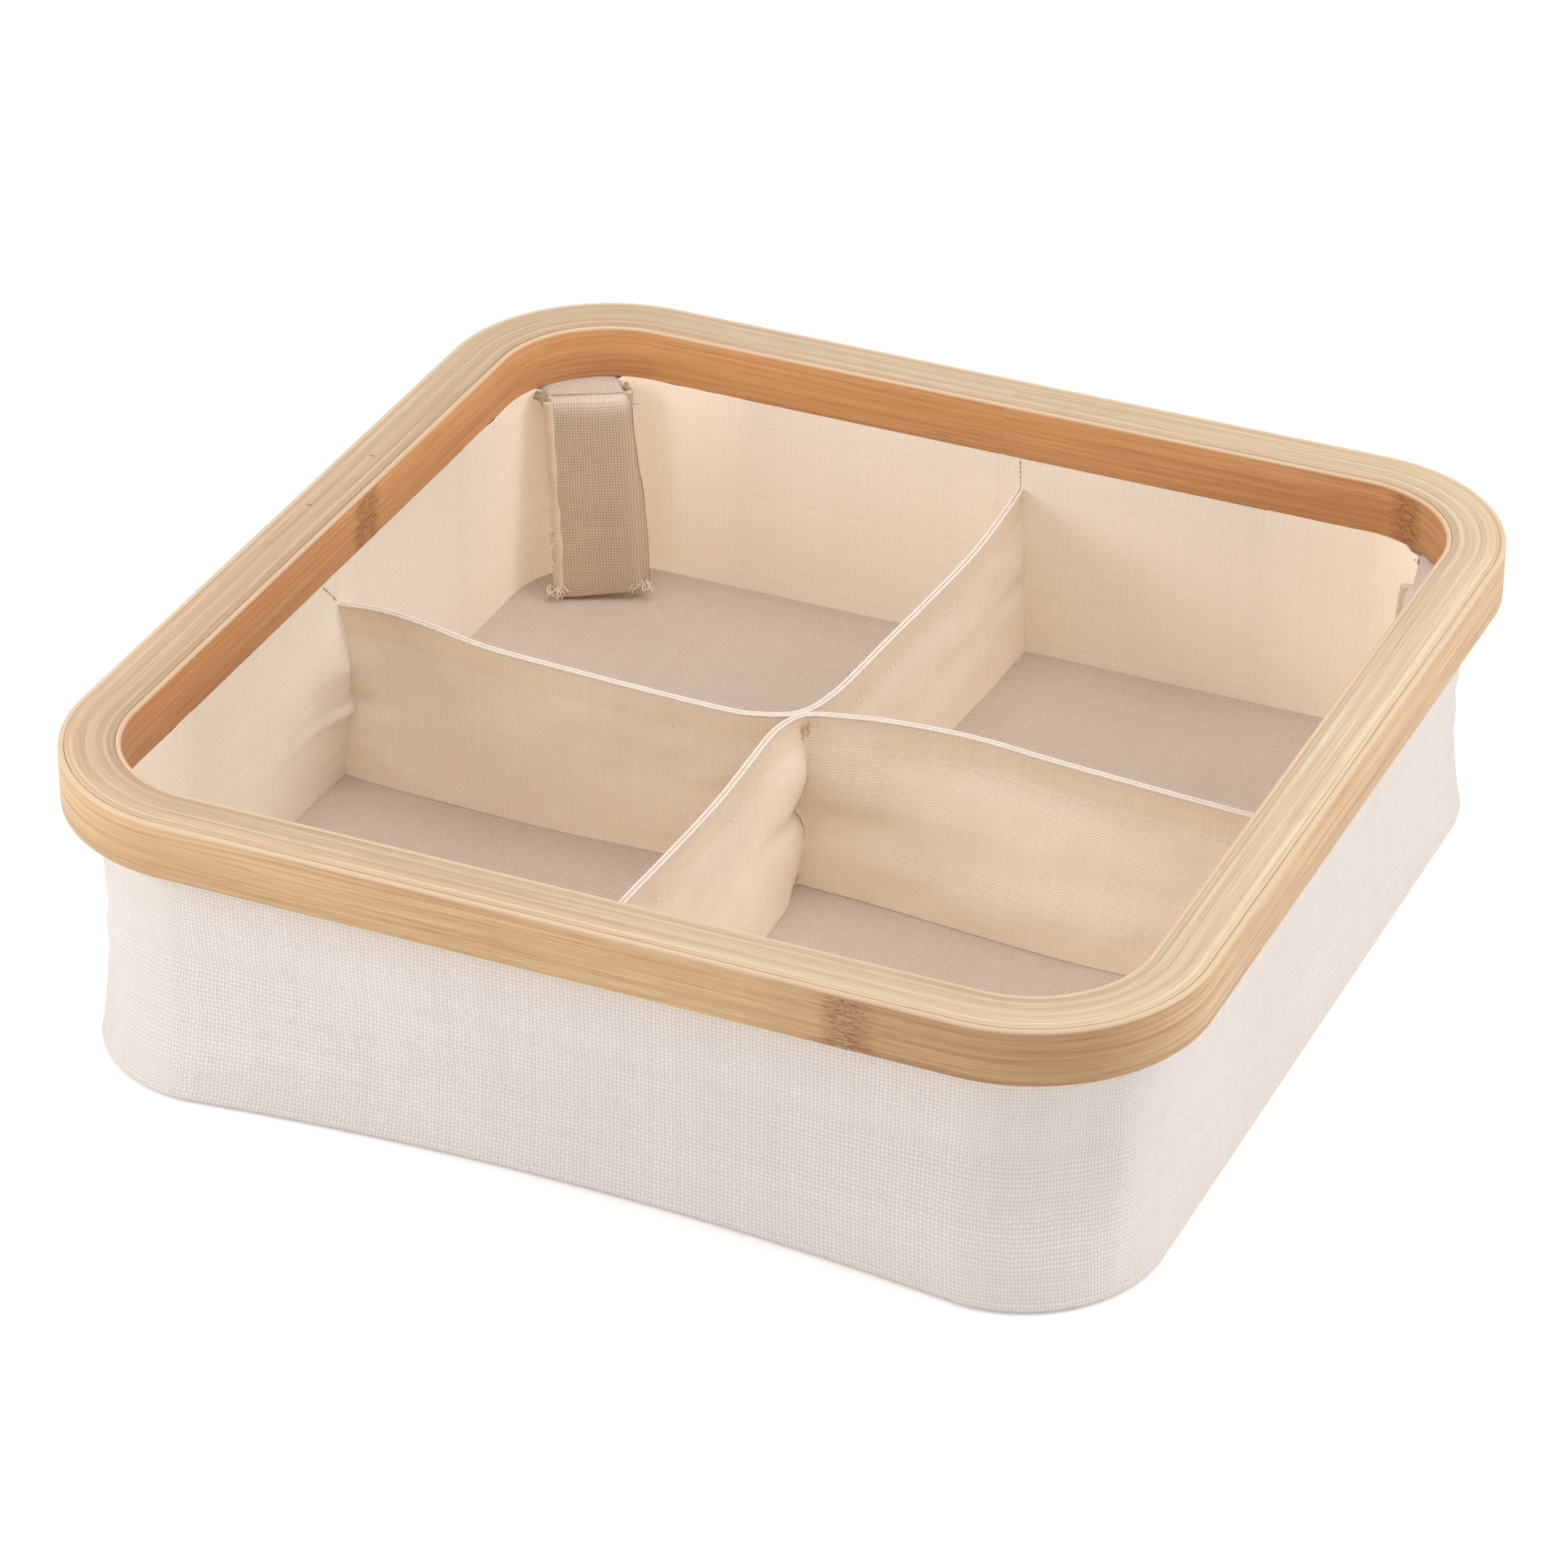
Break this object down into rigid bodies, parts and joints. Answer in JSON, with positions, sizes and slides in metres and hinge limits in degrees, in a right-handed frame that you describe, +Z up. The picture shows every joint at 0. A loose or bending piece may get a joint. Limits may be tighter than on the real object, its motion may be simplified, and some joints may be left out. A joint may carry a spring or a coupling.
{
  "type": "collapsible organizer",
  "caption": "Square fabric box with a bent wooden rim, crossing dividers and folding walls, so that the rim drops flat onto the base.",
  "frame": {"origin": "centre of the foot, on the surface that the box stands on", "axes": "+Z up through the open top, -Y out of the front, +X to the right"},
  "size_m": [0.3, 0.3, 0.08],
  "materials": {
    "rim_wood": "satin bent bamboo with fine grain",
    "rim_wood_dark": "satin toasted bamboo ply",
    "canvas": "off-white plain-weave canvas",
    "lining": "cream woven lining",
    "divider_cloth": "cream woven cloth with a hemmed top",
    "floor_cloth": "greige woven cloth",
    "stay_cloth": "greige woven cloth over a board",
    "board": "raw pressed board, hidden"
  },
  "bodies": {
    "base": {"canvas_sleeve": "canvas", "base_cloth": "floor_cloth", "base_board": "board", "floor_cloth": "floor_cloth", "lining_corner_front_left": "lining", "lining_corner_front_right": "lining", "lining_corner_back_left": "lining", "lining_corner_back_right": "lining", "divider_front": "divider_cloth", "divider_right": "divider_cloth", "divider_back": "divider_cloth", "divider_left": "divider_cloth"},
    "front_lower": {"front_lower_lining": "lining", "front_lower_stiffener": "board"},
    "front_upper": {"front_upper_lining": "lining", "front_upper_stiffener": "board"},
    "right_lower": {"right_lower_lining": "lining", "right_lower_stiffener": "board"},
    "right_upper": {"right_upper_lining": "lining", "right_upper_stiffener": "board"},
    "back_lower": {"back_lower_lining": "lining", "back_lower_stiffener": "board"},
    "back_upper": {"back_upper_lining": "lining", "back_upper_stiffener": "board"},
    "left_lower": {"left_lower_lining": "lining", "left_lower_stiffener": "board"},
    "left_upper": {"left_upper_lining": "lining", "left_upper_stiffener": "board"},
    "rim": {"outer_ply": "rim_wood", "core_hoop": "rim_wood", "filler_strip": "rim_wood", "inner_ply": "rim_wood_dark", "lining_hem": "lining", "stay_tab_front_left": "stay_cloth", "stay_tab_front_right": "stay_cloth", "stay_tab_back_left": "stay_cloth", "stay_tab_back_right": "stay_cloth"},
    "stay_front_left": {"stay_core_front_left": "board", "stay_sleeve_front_left": "stay_cloth"},
    "stay_front_right": {"stay_core_front_right": "board", "stay_sleeve_front_right": "stay_cloth"},
    "stay_back_left": {"stay_core_back_left": "board", "stay_sleeve_back_left": "stay_cloth"},
    "stay_back_right": {"stay_core_back_right": "board", "stay_sleeve_back_right": "stay_cloth"}
  },
  "joints": [
    {"name": "front_lower_fold", "type": "hinge", "parent": "base", "child": "front_lower", "pos_m": [0, -0.1342, 0.0055], "axis": [-1, 0, 0], "range_deg": [0, 85]},
    {"name": "front_upper_fold", "type": "hinge", "parent": "front_lower", "child": "front_upper", "pos_m": [0, -0.1371, 0.0351], "axis": [-1, 0, 0], "range_deg": [-170, 0]},
    {"name": "collapse", "type": "hinge", "parent": "front_upper", "child": "rim", "pos_m": [0, -0.1342, 0.0647], "axis": [-1, 0, 0], "range_deg": [0, 85], "deforming": ["canvas_sleeve", "lining_corner_front_left", "lining_corner_front_right", "lining_corner_back_left", "lining_corner_back_right", "divider_front", "divider_right", "divider_back", "divider_left"]},
    {"name": "right_lower_fold", "type": "hinge", "parent": "base", "child": "right_lower", "pos_m": [0.1342, 0, 0.0055], "axis": [0, -1, 0], "range_deg": [0, 85]},
    {"name": "right_upper_fold", "type": "hinge", "parent": "right_lower", "child": "right_upper", "pos_m": [0.1371, 0, 0.0351], "axis": [0, -1, 0], "range_deg": [-170, 0]},
    {"name": "back_lower_fold", "type": "hinge", "parent": "base", "child": "back_lower", "pos_m": [0, 0.1342, 0.0055], "axis": [1, 0, 0], "range_deg": [0, 85]},
    {"name": "back_upper_fold", "type": "hinge", "parent": "back_lower", "child": "back_upper", "pos_m": [0, 0.1371, 0.0351], "axis": [1, 0, 0], "range_deg": [-170, 0]},
    {"name": "left_lower_fold", "type": "hinge", "parent": "base", "child": "left_lower", "pos_m": [-0.1342, 0, 0.0055], "axis": [0, 1, 0], "range_deg": [0, 85]},
    {"name": "left_upper_fold", "type": "hinge", "parent": "left_lower", "child": "left_upper", "pos_m": [-0.1371, 0, 0.0351], "axis": [0, 1, 0], "range_deg": [-170, 0]},
    {"name": "stay_front_left_swing", "type": "hinge", "parent": "rim", "child": "stay_front_left", "pos_m": [-0.12218, -0.12218, 0.0641], "axis": [0.7071, -0.7071, 0], "range_deg": [0, 85]},
    {"name": "stay_front_right_swing", "type": "hinge", "parent": "rim", "child": "stay_front_right", "pos_m": [0.12218, -0.12218, 0.0641], "axis": [0.7071, 0.7071, 0], "range_deg": [0, 85]},
    {"name": "stay_back_left_swing", "type": "hinge", "parent": "rim", "child": "stay_back_left", "pos_m": [-0.12218, 0.12218, 0.0641], "axis": [-0.7071, -0.7071, 0], "range_deg": [0, 85]},
    {"name": "stay_back_right_swing", "type": "hinge", "parent": "rim", "child": "stay_back_right", "pos_m": [0.12218, 0.12218, 0.0641], "axis": [-0.7071, 0.7071, 0], "range_deg": [0, 85]}
  ],
  "couplings": [
    {"joint": "front_lower_fold", "follows": "collapse", "ratio": 1},
    {"joint": "front_upper_fold", "follows": "collapse", "ratio": -2},
    {"joint": "right_lower_fold", "follows": "collapse", "ratio": 1},
    {"joint": "right_upper_fold", "follows": "collapse", "ratio": -2},
    {"joint": "back_lower_fold", "follows": "collapse", "ratio": 1},
    {"joint": "back_upper_fold", "follows": "collapse", "ratio": -2},
    {"joint": "left_lower_fold", "follows": "collapse", "ratio": 1},
    {"joint": "left_upper_fold", "follows": "collapse", "ratio": -2},
    {"joint": "stay_front_left_swing", "follows": "collapse", "ratio": 1},
    {"joint": "stay_front_right_swing", "follows": "collapse", "ratio": 1},
    {"joint": "stay_back_left_swing", "follows": "collapse", "ratio": 1},
    {"joint": "stay_back_right_swing", "follows": "collapse", "ratio": 1}
  ]
}
